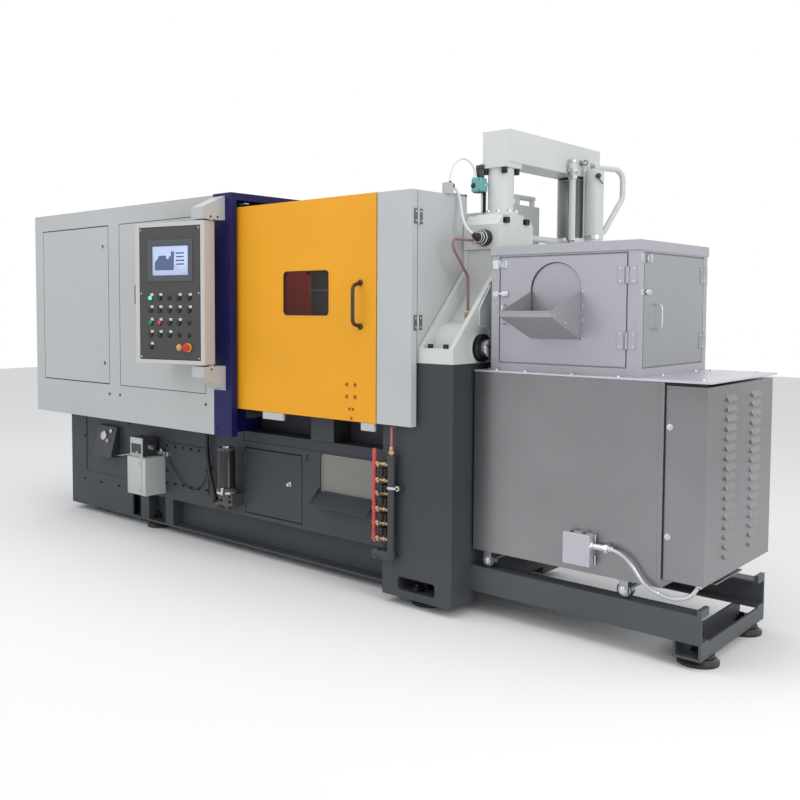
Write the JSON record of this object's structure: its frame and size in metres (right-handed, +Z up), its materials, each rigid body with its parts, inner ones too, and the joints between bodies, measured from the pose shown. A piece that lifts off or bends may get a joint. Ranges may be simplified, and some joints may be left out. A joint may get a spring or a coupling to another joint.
{
  "type": "hot-chamber die casting machine",
  "caption": "Hot-chamber die casting machine with a clamp cabinet, sliding guard door, swivel control panel, A-frame platen and a furnace on rails.",
  "frame": {"origin": "on the floor, on the machine's centreline, halfway along its length", "axes": "+X along the machine towards the furnace, +Y to the back, +Z up"},
  "size_m": [3.873, 1.4929, 1.948],
  "materials": {
    "bed_grey": "satin dark slate paint",
    "foot_black": "dark cast iron",
    "cabinet_grey": "light grey powder coat",
    "arch_blue": "deep blue powder coat",
    "door_yellow": "yellow-orange powder coat",
    "guard_grey": "pale grey powder coat",
    "window_clear": "clear polycarbonate",
    "handle_chrome": "polished",
    "rail_steel": "ground steel",
    "casting_white": "white-grey gloss paint",
    "furnace_silver": "silver metallic paint",
    "panel_dark": "grey textured paint",
    "fitting_black": "satin moulded plastic",
    "fitting_grey": "light grey satin paint",
    "copper_tube": "drawn tube",
    "pipe_brass": "machined brass",
    "hose_black": "matt jacket",
    "hose_white": "smooth nylon tube"
  },
  "bodies": {
    "machine": {"bed_sills": "bed_grey", "bed_wall_front": "bed_grey", "bed_wall_back": "bed_grey", "bed_deck": "bed_grey", "casting_chute": "bed_grey", "levelling_feet": "foot_black", "portal_posts": "bed_grey", "portal_end_plate": "bed_grey", "cabinet_roof_and_floor": "cabinet_grey", "cabinet_wrap": "cabinet_grey", "cabinet_front": "cabinet_grey", "cabinet_panel": "cabinet_grey", "arch_band": "arch_blue", "arch_bulkhead": "arch_blue", "door_rail": "rail_steel", "guard_side": "guard_grey", "rear_guard": "guard_grey", "fixed_platen": "casting_white", "moving_platen": "casting_white", "rear_platen": "casting_white", "tie_bars": "rail_steel", "platen_frame": "casting_white", "shot_column": "casting_white", "top_beam": "casting_white", "accumulator": "casting_white", "panel_arms": "cabinet_grey", "furnace_rails": "bed_grey", "rail_end_channel": "bed_grey", "copper_pipe": "copper_tube", "grease_pipe": "copper_tube", "limit_switch": "fitting_grey", "lubrication_unit": "fitting_grey", "oil_filter": "fitting_black", "water_manifold": "pipe_brass", "switch_conduit": "hose_black", "air_hose": "hose_white", "bed_conduit": "hose_black", "bed_cable": "hose_black"},
    "sliding_door": {"sliding_door": "door_yellow", "door_window": "window_clear", "door_handle": "handle_chrome"},
    "cabinet_door": {"cabinet_door": "cabinet_grey"},
    "bed_door": {"bed_door": "bed_grey"},
    "guard_door": {"guard_door": "guard_grey"},
    "control_panel": {"panel_box": "panel_dark", "panel_controls": "fitting_black"},
    "furnace_trolley": {"furnace_shell": "furnace_silver", "furnace_end_cover": "furnace_silver", "furnace_lid": "furnace_silver", "wheel_brackets": "rail_steel", "hood_shell": "furnace_silver", "hood_lid": "furnace_silver", "furnace_junction_box": "furnace_silver", "furnace_conduit": "hose_black"},
    "hood_front_door": {"hood_front_door": "furnace_silver", "ingot_chute": "furnace_silver"},
    "hood_side_door": {"hood_side_door": "furnace_silver"},
    "wheelset_left": {"wheelset_left": "rail_steel"},
    "wheelset_right": {"wheelset_right": "rail_steel"}
  },
  "joints": [
    {"name": "sliding_door_travel", "type": "slide", "parent": "machine", "child": "sliding_door", "axis": [-1, 0, 0], "range_m": [0, 0.7]},
    {"name": "cabinet_door_hinge", "type": "hinge", "parent": "machine", "child": "cabinet_door", "pos_m": [-1.8435, -0.523, 0.804], "axis": [0, 0, -1], "range_deg": [0, 110]},
    {"name": "bed_door_hinge", "type": "hinge", "parent": "machine", "child": "bed_door", "pos_m": [-0.3125, -0.328, 0.205], "axis": [0, 0, -1], "range_deg": [0, 85]},
    {"name": "guard_door_hinge", "type": "hinge", "parent": "machine", "child": "guard_door", "pos_m": [0.832, -0.443, 0.742], "axis": [0, 0, 1], "range_deg": [0, 90]},
    {"name": "control_panel_swivel", "type": "hinge", "parent": "machine", "child": "control_panel", "pos_m": [-0.259, -0.588, 0.95], "axis": [0, 0, 1], "range_deg": [-12, 78]},
    {"name": "furnace_trolley_travel", "type": "slide", "parent": "machine", "child": "furnace_trolley", "axis": [1, 0, 0], "range_m": [0, 0.2]},
    {"name": "hood_front_door_hinge", "type": "hinge", "parent": "furnace_trolley", "child": "hood_front_door", "pos_m": [1.6185, -0.27, 1.006], "axis": [0, 0, 1], "range_deg": [0, 110]},
    {"name": "hood_side_door_hinge", "type": "hinge", "parent": "furnace_trolley", "child": "hood_side_door", "pos_m": [1.663, 0.3005, 1.006], "axis": [0, 0, 1], "range_deg": [0, 110]},
    {"name": "wheelset_left_roll", "type": "hinge", "parent": "furnace_trolley", "child": "wheelset_left", "pos_m": [1.07, 0, 0.2193], "axis": [0, 1, 0], "range_deg": [0, 414.3]},
    {"name": "wheelset_right_roll", "type": "hinge", "parent": "furnace_trolley", "child": "wheelset_right", "pos_m": [1.637, 0, 0.2193], "axis": [0, 1, 0], "range_deg": [0, 414.3]}
  ],
  "couplings": [
    {"joint": "wheelset_left_roll", "follows": "furnace_trolley_travel", "rad_per_m": 35.714},
    {"joint": "wheelset_right_roll", "follows": "furnace_trolley_travel", "rad_per_m": 35.714}
  ]
}
